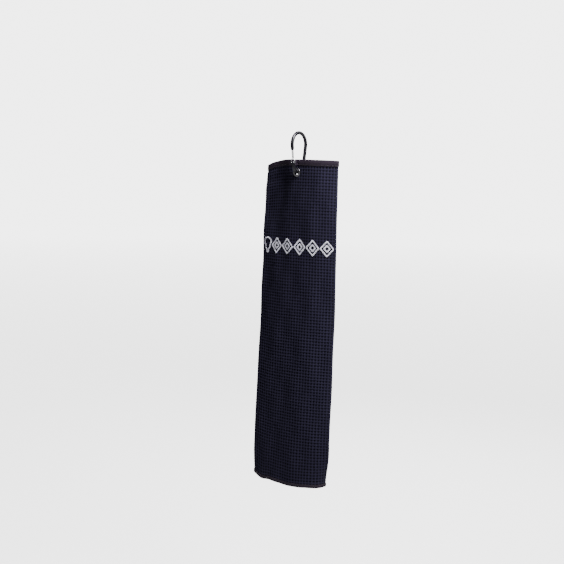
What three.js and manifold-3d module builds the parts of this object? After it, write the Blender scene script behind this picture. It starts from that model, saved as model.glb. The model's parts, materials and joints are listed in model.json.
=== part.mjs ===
// Golf towel: a waffle cloth folded in thirds, hanging by an eyelet on a wire-gate carabiner.
// Millimetres, +Z up. The visible front faces -Y. The origin is the hang point: the inner crown of the
// carabiner's upper arch, where the ring or bar that carries the towel bears.
import * as THREE from "three";
import { mergeVertices } from "three/addons/utils/BufferGeometryUtils.js";
import Module from "manifold-3d";

const wasm = await Module();
wasm.setup();

// ---- Driving dimensions ----

// The cloth, laid flat
const CLOTH_WIDTH = 406;
const CLOTH_LENGTH = 533;
const CLOTH_THICKNESS = 1.8;
const CLOTH_EDGE_THICKNESS = 0.8; // squeezed flat where a binding holds it

// The fold and the way the folded towel bends as it hangs
const FLAP_SETBACK = 8; // each flap's free edge stops this far short of the fold that it reaches for
const LAYER_PITCH = 2.6; // from the middle of one layer to the middle of the next
const BEND_RIGHT = THREE.MathUtils.degToRad(31);
const BEND_LEFT = THREE.MathUtils.degToRad(21);
const FLAT_HALF = 9; // half width of the stretch that the eyelet keeps flat

// Woven binding folded over each cut edge
const BINDING_THICKNESS = 2.2;
const BINDING_WALL = 0.4;
const TOP_BINDING_HEIGHT = 10;
const BOTTOM_BINDING_HEIGHT = 6;
const SIDE_BINDING_WIDTH = 6;

// Carabiner: a rod bent to a pear shape in the YZ plane, narrow end down
const ROD_DIAMETER = 5.6;
const UPPER_ARCH_RADIUS = 18.5; // to the middle of the rod
const LOWER_ARCH_RADIUS = 14;
const ARCH_SPACING = 30; // from one arch's centre to the other's
const HINGE_HEIGHT = 2.5; // along the gate side, from the end of the lower arch
const NOSE_LENGTH = 4.5; // straight rod below the upper arch, on the gate side

// Wire gate
const WIRE_DIAMETER = 1.4;
const GATE_HALF_GAP = 1.0; // from the gate's centre line to the middle of a leg, above the hinge
const GATE_WAIST = 9; // above the hinge, where the legs have come together
const NOSE_OVERLAP = 2.6; // how far the gate's tip reaches into the nose

// Eyelet
const EYELET_DROP = 20.5; // from the towel's top edge to the eyelet's axis
const EYELET_WALL = 0.45;
const FLANGE_WIDTH = 2.8; // how far the flange stands out from the barrel
const FLANGE_THICKNESS = 0.9;
const WASHER_THICKNESS = 0.7;
const LIP_WIDTH = 1.3; // the barrel's end, rolled out over the washer
const LIP_THICKNESS = 0.7;

// Embroidered motif: a ball on its tee, then a row of double lozenges, in outline across the front
const MOTIF_DROP = 140; // from the top edge to the middle of the row
const MOTIF_HEIGHT = 24;
const MOTIF_SPACING = 2.9;
const MOTIF_STROKE = 2.2;
const MOTIF_THICKNESS = 0.5;
const LOZENGE_COUNT = 5;
const LOZENGE_WIDTH = 20.4;
const LOZENGE_CORE = 0.44; // the inner lozenge's size as a share of the outer one's
const BALL_RADIUS = 7.2;
const TEE_CUP_WIDTH = 10.4;
const TEE_CUP_DEPTH = 3.6;
const TEE_STEM_WIDTH = 3.4;

// Clearances
const TOUCH_GAP = 0.3; // between pieces that touch
const RUNNING_GAP = 0.25; // between the rod and the eyelet that slides on it
const HANG_GAP = 0.1; // how far the eyelet's axis sits below the rod's

// ---- Derived sizes ----

const rodRadius = ROD_DIAMETER / 2;
const wireRadius = WIRE_DIAMETER / 2;

// Front panel, two half turns and two flaps add up to the cloth's width. The panel is measured along
// the middle layer, fold to fold.
const foldTurns = LAYER_PITCH * (BEND_LEFT + BEND_RIGHT + 1.5 * Math.PI);
const panelWidth = (CLOTH_WIDTH - foldTurns + 2 * FLAP_SETBACK) / 3;
const flapLength = panelWidth - FLAP_SETBACK;
const halfPanel = panelWidth / 2;
const rightRadius = (halfPanel - FLAT_HALF) / BEND_RIGHT;
const leftRadius = (halfPanel - FLAT_HALF) / BEND_LEFT;

const upperCentreZ = rodRadius - UPPER_ARCH_RADIUS;
const lowerCentreZ = upperCentreZ - ARCH_SPACING;
const eyeletZ = lowerCentreZ - LOWER_ARCH_RADIUS - HANG_GAP;
const clothTopZ = eyeletZ + EYELET_DROP;
const clothBottomZ = clothTopZ - CLOTH_LENGTH;

// How high the rod reaches above the eyelet's axis, a distance along that axis from its middle.
const rodReach = (along) =>
  LOWER_ARCH_RADIUS + HANG_GAP - Math.sqrt((LOWER_ARCH_RADIUS - rodRadius) ** 2 - along ** 2);

const stackHalf = LAYER_PITCH + CLOTH_THICKNESS / 2;
const flangeInner = stackHalf + TOUCH_GAP;
const flangeOuter = flangeInner + FLANGE_THICKNESS;
const washerOuter = flangeInner + WASHER_THICKNESS;
const lipInner = washerOuter + TOUCH_GAP;
const lipOuter = lipInner + LIP_THICKNESS;
const boreRadius = rodReach(flangeInner) + RUNNING_GAP;
const frontMouthRadius = Math.max(boreRadius, rodReach(flangeOuter) + RUNNING_GAP);
const backMouthRadius = Math.max(boreRadius, rodReach(lipOuter) + RUNNING_GAP);
const barrelRadius = boreRadius + EYELET_WALL;
const clothHoleRadius = barrelRadius + TOUCH_GAP;
const flangeRadius = barrelRadius + FLANGE_WIDTH;

// ---- Materials ----

const paint = (color, roughness, metalness) =>
  new THREE.MeshStandardMaterial({ color, roughness, metalness });
const clothPaint = paint(0x1c1b29, 0.95, 0);
const bindingPaint = paint(0x2b272e, 0.8, 0);
const threadPaint = paint(0xdcdae6, 0.5, 0);
const anodisedPaint = paint(0x1b1a1f, 0.35, 0.9);
const steelPaint = paint(0xb9b8bd, 0.25, 1);
const nickelPaint = paint(0xc9c7c4, 0.25, 1);

// ---- Solids ----

const vec2 = (x, y) => new THREE.Vector2(x, y);
const vec3 = (x, y, z) => new THREE.Vector3(x, y, z);

// A closed geometry as a solid that can be joined and cut.
function solidOf(geometry) {
  const bare = geometry.clone();
  bare.deleteAttribute("normal");
  bare.deleteAttribute("uv");
  const merged = mergeVertices(bare, 1e-4);
  return new wasm.Manifold(
    new wasm.Mesh({
      numProp: 3,
      vertProperties: new Float32Array(merged.attributes.position.array),
      triVerts: new Uint32Array(merged.index.array),
    }),
  );
}

// A solid as a three.js geometry.
function geometryOf(solid) {
  const { vertProperties, triVerts } = solid.getMesh();
  const geometry = new THREE.BufferGeometry();
  geometry.setAttribute("position", new THREE.BufferAttribute(vertProperties, 3));
  geometry.setIndex(new THREE.BufferAttribute(triVerts, 1));
  geometry.computeVertexNormals();
  return geometry;
}

function cylinderAlongX(radius, length, sides) {
  return new THREE.CylinderGeometry(radius, radius, length, sides).rotateZ(Math.PI / 2);
}

function cylinderAlongY(radius, length, sides) {
  return new THREE.CylinderGeometry(radius, radius, length, sides);
}

// A round rod or wire along a curve.
function roundAlong(curve, radius, sides, steps) {
  const section = new THREE.Shape();
  section.absarc(0, 0, radius, 0, 2 * Math.PI);
  return new THREE.ExtrudeGeometry(section, {
    extrudePath: curve,
    steps,
    curveSegments: sides / 2, // three.js cuts a full circle into twice this
    bevelEnabled: false,
  });
}

// ---- The folded section, seen from above ----

// A point of one layer: `along` is measured along that layer from the eyelet, positive to the right,
// and `depth` is the layer's distance behind the middle layer.
function layerPoint(along, depth) {
  const side = Math.sign(along);
  const beyond = Math.max(0, Math.abs(along) - FLAT_HALF);
  const bend = side > 0 ? rightRadius : leftRadius;
  const angle = beyond / (bend - depth);
  const flat = Math.min(Math.abs(along), FLAT_HALF);
  return {
    x: side * (flat + (bend - depth) * Math.sin(angle)),
    y: bend - (bend - depth) * Math.cos(angle),
    heading: side * angle, // of the layer, turned from +X towards +Y
  };
}

const frontLeft = FLAT_HALF + (leftRadius + LAYER_PITCH) * BEND_LEFT;
const frontRight = FLAT_HALF + (rightRadius + LAYER_PITCH) * BEND_RIGHT;
const middleRight = halfPanel;
const backLeft = FLAT_HALF + (leftRadius - LAYER_PITCH) * BEND_LEFT;
const innerFoldRadius = LAYER_PITCH / 2;
const outerFoldRadius = LAYER_PITCH;

// The stretches of the cloth from its inner free edge to its outer one. Each maps a distance from the
// stretch's start to a point and the direction of travel there.
function layerStretch(start, end, depth) {
  const step = Math.sign(end - start);
  return {
    length: Math.abs(end - start),
    breaks: [-FLAT_HALF, FLAT_HALF].map((a) => (a - start) * step),
    at(distance) {
      const { x, y, heading } = layerPoint(start + step * distance, depth);
      return { x, y, heading: heading + (step < 0 ? Math.PI : 0) };
    },
  };
}

// A half turn to the right, starting at the end of a layer.
function foldStretch(from, radius) {
  return {
    length: Math.PI * radius,
    breaks: [],
    at(distance) {
      const turned = distance / radius;
      const centreX = from.x + radius * Math.sin(from.heading);
      const centreY = from.y - radius * Math.cos(from.heading);
      const heading = from.heading - turned;
      return {
        x: centreX - radius * Math.sin(heading),
        y: centreY + radius * Math.cos(heading),
        heading,
      };
    },
  };
}

const innerFlap = layerStretch(middleRight - flapLength, middleRight, 0);
const rightFold = foldStretch(innerFlap.at(innerFlap.length), innerFoldRadius);
const frontPanel = layerStretch(frontRight, -frontLeft, -LAYER_PITCH);
const leftFold = foldStretch(frontPanel.at(frontPanel.length), outerFoldRadius);
const outerFlap = layerStretch(-backLeft, -backLeft + flapLength, LAYER_PITCH);
const stretches = [innerFlap, rightFold, frontPanel, leftFold, outerFlap];
const BEND_STEP = 10; // longest chord on a layer
const FOLD_STEPS = 8; // chords in each half turn

// The point at a distance across the flat cloth, raised off the cloth's middle towards its outer face.
function sectionPoint(across, raised) {
  let rest = across;
  let stretch = stretches[0];
  for (stretch of stretches) {
    if (rest <= stretch.length) break;
    rest -= stretch.length;
  }
  const { x, y, heading } = stretch.at(Math.min(rest, stretch.length));
  return vec2(x - raised * Math.sin(heading), y + raised * Math.cos(heading));
}

// Distances across the cloth where the section needs a point.
function stationsBetween(from, to) {
  const stations = new Set([from, to]);
  let start = 0;
  for (const stretch of stretches) {
    const isFold = stretch.breaks.length === 0;
    const steps = isFold ? FOLD_STEPS : Math.ceil(stretch.length / BEND_STEP);
    for (let i = 0; i <= steps; i++) stations.add(start + (stretch.length * i) / steps);
    for (const b of stretch.breaks) if (b > 0 && b < stretch.length) stations.add(start + b);
    start += stretch.length;
  }
  const inside = [...stations].filter((s) => s >= from && s <= to).sort((a, b) => a - b);
  return inside.filter((s, i) => i === 0 || s - inside[i - 1] > 1e-3);
}

// Cloth of one thickness between two distances across and two heights.
function clothSlab(thickness, from, to, lowZ, highZ) {
  const stations = stationsBetween(from, to);
  const outline = [
    ...stations.map((s) => sectionPoint(s, -thickness / 2)),
    ...stations.reverse().map((s) => sectionPoint(s, thickness / 2)),
  ];
  const geometry = new THREE.ExtrudeGeometry(new THREE.Shape(outline), {
    depth: highZ - lowZ,
    bevelEnabled: false,
  });
  return solidOf(geometry.translate(0, 0, lowZ));
}

// ---- Sub-parts ----

const CUT_THROUGH = 1; // how far a cut runs past the face that it opens

// The hollow of a binding holds the cloth's edge.
const slotThickness = BINDING_THICKNESS - 2 * BINDING_WALL;
const edgeGap = BINDING_WALL + TOUCH_GAP; // from the outside of a binding to the cloth's edge in it

function towelCloth() {
  const body = clothSlab(
    CLOTH_THICKNESS,
    SIDE_BINDING_WIDTH + TOUCH_GAP,
    CLOTH_WIDTH - SIDE_BINDING_WIDTH - TOUCH_GAP,
    clothBottomZ + BOTTOM_BINDING_HEIGHT + TOUCH_GAP,
    clothTopZ - TOP_BINDING_HEIGHT - TOUCH_GAP,
  );
  const edges = clothSlab(
    CLOTH_EDGE_THICKNESS,
    edgeGap,
    CLOTH_WIDTH - edgeGap,
    clothBottomZ + edgeGap,
    clothTopZ - edgeGap,
  );
  const hole = cylinderAlongY(clothHoleRadius, 4 * stackHalf, 32).translate(0, 0, eyeletZ);
  return geometryOf(body.add(edges).subtract(solidOf(hole)));
}

// The binding along the top or bottom edge, round all the layers.
function endBinding(lowZ, highZ, openAtBottom) {
  const slotLow = openAtBottom ? lowZ - CUT_THROUGH : lowZ + BINDING_WALL;
  const slotHigh = openAtBottom ? highZ - BINDING_WALL : highZ + CUT_THROUGH;
  const strip = clothSlab(BINDING_THICKNESS, 0, CLOTH_WIDTH, lowZ, highZ);
  const slot = clothSlab(
    slotThickness,
    BINDING_WALL,
    CLOTH_WIDTH - BINDING_WALL,
    slotLow,
    slotHigh,
  );
  return geometryOf(strip.subtract(slot));
}

// The binding along a free edge of a flap, between the top and bottom ones.
function sideBinding(atInnerEdge) {
  const lowZ = clothBottomZ + BOTTOM_BINDING_HEIGHT + TOUCH_GAP;
  const highZ = clothTopZ - TOP_BINDING_HEIGHT - TOUCH_GAP;
  const [from, to] = atInnerEdge
    ? [0, SIDE_BINDING_WIDTH]
    : [CLOTH_WIDTH - SIDE_BINDING_WIDTH, CLOTH_WIDTH];
  const [slotFrom, slotTo] = atInnerEdge
    ? [BINDING_WALL, to + CUT_THROUGH]
    : [from - CUT_THROUGH, to - BINDING_WALL];
  const strip = clothSlab(BINDING_THICKNESS, from, to, lowZ, highZ);
  const slot = clothSlab(slotThickness, slotFrom, slotTo, lowZ - CUT_THROUGH, highZ + CUT_THROUGH);
  return geometryOf(strip.subtract(slot));
}

// The carabiner's outline: nose, upper arch, spine, lower arch, hinge end. It lies in the YZ plane,
// with the gate on the -Y side.
const lean = Math.asin((UPPER_ARCH_RADIUS - LOWER_ARCH_RADIUS) / ARCH_SPACING);
const sideLength = ARCH_SPACING * Math.cos(lean);
const gateFoot = vec3(
  0,
  -LOWER_ARCH_RADIUS * Math.cos(lean),
  lowerCentreZ - LOWER_ARCH_RADIUS * Math.sin(lean),
);
const gateUp = vec3(0, -Math.sin(lean), Math.cos(lean));
const onGateSide = (height) => gateFoot.clone().addScaledVector(gateUp, height);

class Arc extends THREE.Curve {
  constructor(centreZ, radius, fromAngle, toAngle) {
    super();
    Object.assign(this, { centreZ, radius, fromAngle, toAngle });
  }
  // Angles are measured from +Y towards +Z.
  getPoint(t) {
    const angle = this.fromAngle + (this.toAngle - this.fromAngle) * t;
    const y = this.radius * Math.cos(angle);
    const z = this.centreZ + this.radius * Math.sin(angle);
    return vec3(0, y, z);
  }
}

function carabinerBody() {
  const noseEnd = onGateSide(sideLength - NOSE_LENGTH);
  const hingeEnd = onGateSide(HINGE_HEIGHT);
  const outline = new THREE.CurvePath();
  const upper = new Arc(upperCentreZ, UPPER_ARCH_RADIUS, Math.PI + lean, -lean);
  const lower = new Arc(lowerCentreZ, LOWER_ARCH_RADIUS, -lean, lean - Math.PI);
  outline.add(new THREE.LineCurve3(noseEnd, upper.getPoint(0)));
  outline.add(upper);
  outline.add(new THREE.LineCurve3(upper.getPoint(1), lower.getPoint(0)));
  outline.add(lower);
  outline.add(new THREE.LineCurve3(lower.getPoint(1), hingeEnd));
  const rod = solidOf(roundAlong(outline, rodRadius, 16, 80));
  const roundEnd = (at) => {
    const ball = new THREE.SphereGeometry(rodRadius, 16, 10);
    return solidOf(ball.translate(at.x, at.y, at.z));
  };
  const hingeHole = cylinderAlongX(wireRadius + TOUCH_GAP, 4 * rodRadius, 16);
  hingeHole.translate(0, hingeEnd.y, hingeEnd.z);

  const slotHalf = GATE_HALF_GAP + wireRadius + TOUCH_GAP;
  const slotBack = wireRadius + TOUCH_GAP; // behind the gate's centre line
  const slotDepth = 2 * rodRadius + slotBack;
  const slotLength = NOSE_OVERLAP + TOUCH_GAP + 2 * rodRadius;
  const slot = new THREE.BoxGeometry(2 * slotHalf, slotDepth, slotLength);
  slot.translate(0, slotDepth / 2 - slotBack, NOSE_OVERLAP + TOUCH_GAP - slotLength / 2);
  slot.rotateX(lean).translate(noseEnd.x, noseEnd.y, noseEnd.z);

  const whole = rod.add(roundEnd(noseEnd)).add(roundEnd(hingeEnd));
  return geometryOf(whole.subtract(solidOf(hingeHole)).subtract(solidOf(slot)));
}

// One wire: into the hinge hole from each side, up past the rod, together at the waist, round the tip.
function wireGate() {
  const legX = rodRadius + wireRadius + TOUCH_GAP;
  const bend = 1.6; // of the wire beside the hinge hole
  const length = sideLength - NOSE_LENGTH + NOSE_OVERLAP - HINGE_HEIGHT;
  const tipStart = length - wireRadius - GATE_HALF_GAP;
  const point = (x, height) => onGateSide(HINGE_HEIGHT + height).setX(x);
  const leg = (side) => [
    new THREE.LineCurve3(point(side * 2 * TOUCH_GAP, 0), point(side * (legX - bend), 0)),
    new THREE.QuadraticBezierCurve3(
      point(side * (legX - bend), 0),
      point(side * legX, 0),
      point(side * legX, bend),
    ),
    new THREE.CubicBezierCurve3(
      point(side * legX, bend),
      point(side * legX, (bend + GATE_WAIST) / 2),
      point(side * GATE_HALF_GAP, (bend + GATE_WAIST) / 2),
      point(side * GATE_HALF_GAP, GATE_WAIST),
    ),
    new THREE.LineCurve3(point(side * GATE_HALF_GAP, GATE_WAIST), point(side * GATE_HALF_GAP, tipStart)),
  ];
  const backwards = (curve) => {
    const turned = new THREE.Curve();
    turned.getPoint = (t) => curve.getPoint(1 - t);
    return turned;
  };
  const tip = new THREE.Curve();
  tip.getPoint = (t) => {
    const angle = Math.PI * t;
    return point(GATE_HALF_GAP * Math.cos(angle), tipStart + GATE_HALF_GAP * Math.sin(angle));
  };
  const path = new THREE.CurvePath();
  leg(1).forEach((curve) => path.add(curve));
  path.add(tip);
  leg(-1).reverse().forEach((curve) => path.add(backwards(curve)));
  return roundAlong(path, wireRadius, 10, 110);
}

// Half-round rim of an eyelet piece, as lathe profile points from one face to the other.
function roundRim(radius, fromY, toY) {
  const half = (toY - fromY) / 2;
  const points = [];
  for (let i = 0; i <= 6; i++) {
    const angle = -Math.PI / 2 + (Math.PI * i) / 6;
    const out = Math.abs(half) * Math.cos(angle);
    points.push(vec2(radius - Math.abs(half) + out, (fromY + toY) / 2 + half * Math.sin(angle)));
  }
  return points;
}

// The eyelet is turned about its own axis, which runs front to back.
const EYELET_SEGMENTS = 40;
function eyeletBarrel() {
  const profile = [
    vec2(boreRadius, -flangeInner),
    vec2(frontMouthRadius, -flangeOuter),
    ...roundRim(flangeRadius, -flangeOuter, -flangeInner),
    vec2(barrelRadius, -flangeInner),
    vec2(barrelRadius, lipInner),
    ...roundRim(barrelRadius + LIP_WIDTH, lipInner, lipOuter),
    vec2(backMouthRadius, lipOuter),
    vec2(boreRadius, flangeInner),
    vec2(boreRadius, -flangeInner),
  ];
  return new THREE.LatheGeometry(profile, EYELET_SEGMENTS);
}

function eyeletWasher() {
  const inner = barrelRadius + TOUCH_GAP;
  const profile = [
    vec2(inner, flangeInner),
    ...roundRim(flangeRadius, flangeInner, washerOuter),
    vec2(inner, washerOuter),
    vec2(inner, flangeInner),
  ];
  return new THREE.LatheGeometry(profile, EYELET_SEGMENTS);
}

// ---- Motif: closed outlines in the plane of the panel, centred on the row's middle line ----

const halfHeight = MOTIF_HEIGHT / 2;

function lozenge(halfWidth, height) {
  return [vec2(halfWidth, 0), vec2(0, height / 2), vec2(-halfWidth, 0), vec2(0, -height / 2)];
}

// The ball is an arc that stands on the tee's cup; the tee narrows to its stem.
function ballOnTee() {
  const [openingDegrees, arcSteps] = [70, 16];
  const fromAngle = -Math.PI / 2 + THREE.MathUtils.degToRad(openingDegrees / 2);
  const ball = Array.from({ length: arcSteps + 1 }, (_, i) => {
    const angle = fromAngle + ((2 * Math.PI - THREE.MathUtils.degToRad(openingDegrees)) * i) / arcSteps;
    return vec2(BALL_RADIUS * Math.cos(angle), halfHeight - BALL_RADIUS * (1 - Math.sin(angle)));
  });
  const cupHeight = halfHeight - 2 * BALL_RADIUS - 2 * MOTIF_STROKE / 3;
  const neckHeight = cupHeight - TEE_CUP_DEPTH;
  return [
    ...ball,
    vec2(-TEE_CUP_WIDTH / 2, cupHeight),
    vec2(-TEE_STEM_WIDTH / 2, neckHeight),
    vec2(-TEE_STEM_WIDTH / 2, -halfHeight),
    vec2(TEE_STEM_WIDTH / 2, -halfHeight),
    vec2(TEE_STEM_WIDTH / 2, neckHeight),
    vec2(TEE_CUP_WIDTH / 2, cupHeight),
  ];
}

// A closed outline moved sideways by a distance, outwards where it is positive.
function offsetOutline(points, distance) {
  const turn = THREE.ShapeUtils.isClockWise(points) ? -1 : 1;
  return points.map((here, i) => {
    const before = points[(i + points.length - 1) % points.length];
    const after = points[(i + 1) % points.length];
    const arriving = here.clone().sub(before).normalize();
    const leaving = after.clone().sub(here).normalize();
    const normal = vec2(arriving.y + leaving.y, -arriving.x - leaving.x).normalize();
    const stretch = normal.dot(vec2(arriving.y, -arriving.x));
    return here.clone().addScaledVector(normal, (turn * distance) / stretch);
  });
}

// An outline as a raised stitched line on the front panel, bent with it.
function motifPiece(outline, middleAlong) {
  const shape = new THREE.Shape(offsetOutline(outline, MOTIF_STROKE / 2));
  shape.holes.push(new THREE.Path(offsetOutline(outline, -MOTIF_STROKE / 2)));
  const geometry = new THREE.ExtrudeGeometry(shape, { depth: MOTIF_THICKNESS, bevelEnabled: false });
  const position = geometry.getAttribute("position");
  const frontAcross = innerFlap.length + rightFold.length + frontRight;
  for (let i = 0; i < position.count; i++) {
    const across = frontAcross - middleAlong - position.getX(i);
    const raised = CLOTH_THICKNESS / 2 + TOUCH_GAP + position.getZ(i);
    const { x, y } = sectionPoint(across, raised);
    position.setXYZ(i, x, y, clothTopZ - MOTIF_DROP + position.getY(i));
  }
  geometry.computeVertexNormals();
  return geometry;
}

// ---- Assembly ----

function mesh(name, geometry, material) {
  const made = new THREE.Mesh(geometry, material);
  made.name = name;
  return made;
}

// The towel hangs with its centre of mass straight below the lower arch's centre, so the cloth and the
// eyelet are turned together about that centre, and the cloth about the eyelet's axis.
function meanSection() {
  const steps = 400;
  const sum = vec2(0, 0);
  for (let i = 0; i < steps; i++) sum.add(sectionPoint((CLOTH_WIDTH * (i + 0.5)) / steps, 0));
  return sum.divideScalar(steps);
}
const middle = meanSection();
const middleZ = (clothTopZ + clothBottomZ) / 2;
const plumbTip = -Math.atan(middle.y / (lowerCentreZ - middleZ));
const plumbSwing = Math.atan(middle.x / (eyeletZ - middleZ));

const cloth = new THREE.Group();
cloth.add(mesh("towel_cloth", towelCloth(), clothPaint));
const topBinding = endBinding(clothTopZ - TOP_BINDING_HEIGHT, clothTopZ, true);
const bottomBinding = endBinding(clothBottomZ, clothBottomZ + BOTTOM_BINDING_HEIGHT, false);
cloth.add(mesh("top_binding", topBinding, bindingPaint));
cloth.add(mesh("bottom_binding", bottomBinding, bindingPaint));
cloth.add(mesh("inner_edge_binding", sideBinding(true), bindingPaint));
cloth.add(mesh("outer_edge_binding", sideBinding(false), bindingPaint));

const rowLength = 2 * BALL_RADIUS + LOZENGE_COUNT * (LOZENGE_WIDTH + MOTIF_SPACING);
const rowStart = (frontRight - frontLeft - rowLength) / 2;
cloth.add(mesh("motif_ball_on_tee", motifPiece(ballOnTee(), rowStart + BALL_RADIUS), threadPaint));
for (let i = 0; i < LOZENGE_COUNT; i++) {
  const at = rowStart + 2 * BALL_RADIUS + (i + 1) * MOTIF_SPACING + (i + 0.5) * LOZENGE_WIDTH;
  const outer = lozenge(LOZENGE_WIDTH / 2, MOTIF_HEIGHT);
  const core = lozenge((LOZENGE_CORE * LOZENGE_WIDTH) / 2, LOZENGE_CORE * MOTIF_HEIGHT);
  cloth.add(mesh(`motif_lozenge_${i + 1}`, motifPiece(outer, at), threadPaint));
  cloth.add(mesh(`motif_lozenge_core_${i + 1}`, motifPiece(core, at), threadPaint));
}

// A group that turns what it holds about a point.
function turnedAbout(point, turn, held) {
  const outer = new THREE.Group();
  outer.position.copy(point);
  turn(outer.rotation);
  held.forEach((child) => {
    child.position.sub(point);
    outer.add(child);
  });
  return outer;
}

const eyeletCentre = vec3(0, 0, eyeletZ);
const barrel = mesh("eyelet", eyeletBarrel(), nickelPaint);
const washer = mesh("eyelet_washer", eyeletWasher(), nickelPaint);
barrel.position.copy(eyeletCentre);
washer.position.copy(eyeletCentre);
const hung = turnedAbout(eyeletCentre, (r) => (r.y = plumbSwing), [cloth]);
const tipped = turnedAbout(vec3(0, 0, lowerCentreZ), (r) => (r.x = plumbTip), [hung, barrel, washer]);

const towel = new THREE.Group();
towel.name = "golf_towel";
towel.add(mesh("carabiner_body", carabinerBody(), anodisedPaint));
towel.add(mesh("wire_gate", wireGate(), steelPaint));
towel.add(tipped);

export default towel;
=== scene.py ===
"""Golf towel: waffle cloth folded in thirds, bound edges, stitched motif, eyelet and wire-gate carabiner.

Metres, +Z up. The embroidered front faces -Y. The rigid metal parts are the frame's own nodes. The soft
parts are made here, round the same fold, and hang from the eyelet.
"""
import json
import math

import bmesh
import bpy
import numpy as np
from mathutils import Matrix, Vector


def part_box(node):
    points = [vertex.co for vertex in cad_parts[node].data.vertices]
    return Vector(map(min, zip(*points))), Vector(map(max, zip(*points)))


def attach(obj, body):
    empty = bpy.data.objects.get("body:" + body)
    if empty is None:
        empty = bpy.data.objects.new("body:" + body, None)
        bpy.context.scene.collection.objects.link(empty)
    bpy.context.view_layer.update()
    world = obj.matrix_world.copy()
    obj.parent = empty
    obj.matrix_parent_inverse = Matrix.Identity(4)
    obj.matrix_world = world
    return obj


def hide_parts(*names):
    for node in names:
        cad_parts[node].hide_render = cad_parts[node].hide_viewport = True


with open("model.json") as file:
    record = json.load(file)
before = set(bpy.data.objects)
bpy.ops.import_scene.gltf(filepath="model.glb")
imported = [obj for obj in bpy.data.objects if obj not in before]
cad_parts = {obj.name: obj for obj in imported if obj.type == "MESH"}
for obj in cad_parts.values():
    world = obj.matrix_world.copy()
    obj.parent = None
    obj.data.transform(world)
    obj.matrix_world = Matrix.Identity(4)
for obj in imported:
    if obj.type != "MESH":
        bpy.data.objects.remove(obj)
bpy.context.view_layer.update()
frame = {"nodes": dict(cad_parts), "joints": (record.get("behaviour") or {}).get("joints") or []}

MM = 0.001

# ---- Places that come from the frame ----

JOINTS = {joint["name"]: joint for joint in frame["joints"]}
EYELET_AT = np.array(JOINTS["towel_swing"]["pos_m"], float)
EYELET_AXIS = np.array(JOINTS["towel_swing"]["axis"], float)
HUNG_TIP = math.asin(EYELET_AXIS[2])  # the towel's lean as it hangs plumb
LOWEST_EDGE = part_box("bottom_binding")[0].z

# ---- Cloth, fold and binding sizes ----

CLOTH_WIDTH = 406 * MM
CLOTH_LENGTH = 533 * MM
EYELET_DROP = 20.5 * MM  # from the top edge to the eyelet's axis
LAYER_PITCH = 2.6 * MM
FLAP_SETBACK = 8 * MM
FLAT_HALF = 9 * MM  # half width of the stretch that the eyelet keeps flat
BEND_RIGHT = math.radians(31)
BEND_LEFT = math.radians(21)

TOP_HEM = 10 * MM
BOTTOM_HEM = 6 * MM
SIDE_HEM = 6 * MM
HOLE_RADIUS = 5.2 * MM

WAFFLE_PITCH = 4.9 * MM
RIDGE_RAISED = 0.85 * MM  # ridges and pits of the weave, off the middle of the cloth
PIT_RAISED = -0.4 * MM
BACK_RAISED = -0.85 * MM
EDGE_RAISED = 0.4 * MM  # squeezed cloth inside a binding
EDGE_INSET = 0.8 * MM  # the cloth's own edge, inside the folded tape
HEM_CLEAR = 1 * MM  # from a tape to the first line of cells
FOLD_RAISED = 0.5 * MM  # the weave is stretched smoother round a fold
FOLD_SMOOTHED = 0.85
FOLD_REACH = 6.5 * MM
PRESSED_RAISED = 0.3 * MM  # the weave is pressed flat under the eyelet's flange
PRESSED_RADII = (6.5 * MM, 10 * MM)

INNER_FOLD = LAYER_PITCH / 2
OUTER_FOLD = LAYER_PITCH
FOLD_TURNS = LAYER_PITCH * (BEND_LEFT + BEND_RIGHT + 1.5 * math.pi)
PANEL = (CLOTH_WIDTH - FOLD_TURNS + 2 * FLAP_SETBACK) / 3
HALF_PANEL = PANEL / 2
FLAP = PANEL - FLAP_SETBACK
FRONT_RIGHT = HALF_PANEL + LAYER_PITCH * BEND_RIGHT
FRONT_LEFT = HALF_PANEL + LAYER_PITCH * BEND_LEFT
BACK_LEFT = HALF_PANEL - LAYER_PITCH * BEND_LEFT
BACK_RIGHT = HALF_PANEL - LAYER_PITCH * BEND_RIGHT

# Distances across the flat cloth where one stretch of the fold ends and the next begins.
RIGHT_FOLD_AT = FLAP
FRONT_AT = RIGHT_FOLD_AT + math.pi * INNER_FOLD
LEFT_FOLD_AT = FRONT_AT + FRONT_RIGHT + FRONT_LEFT
OUTER_FLAP_AT = LEFT_FOLD_AT + math.pi * OUTER_FOLD
EYELET_ACROSS = FRONT_AT + FRONT_RIGHT


def smooth_step(value, start, end):
    """0 before start, 1 after end, and an even curve between."""
    share = np.clip((value - start) / (end - start), 0.0, 1.0)
    return share * share * (3.0 - 2.0 * share)


def bump_at(value, centre, width):
    return np.exp(-(((value - centre) / width) ** 2))


# ---- Drape: how the middle layer bends, and how it changes down the towel ----

OPENED_AT_TOP = math.radians(10)  # the left side opens out below the eyelet,
CLOSED_MIDWAY = math.radians(7)  # closes again,
OPENED_AT_FOOT = math.radians(7)  # and opens towards the hem
SWEPT_BACK = math.radians(12)  # the eyelet's pull on the cloth to its left, near the top
SWEEP_RECOVERY = 1.4  # how much of that the cloth further left turns back by
TWIST = math.radians(5)
PULL_CREASE = math.radians(12)
PULL_CREASE_TOP = (-9 * MM, 24 * MM)  # along and down, where the crease leaves the eyelet
PULL_CREASE_SLOPE = 0.4  # how far left it runs for each unit down
PULL_CREASE_WIDTH = 7 * MM
RIGHT_CORNER_CURL = math.radians(50)
LEFT_CORNER_CURL = math.radians(14)
# Uneven waves in the heading: degrees, the scale along and down, and the phase.
WAVES = (
    (2.0, 8.6 * MM, 92 * MM, 0.6),
    (1.5, 5.4 * MM, -131 * MM, 2.1),
    (1.3, 17 * MM, 61 * MM, 4.4),
)

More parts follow.
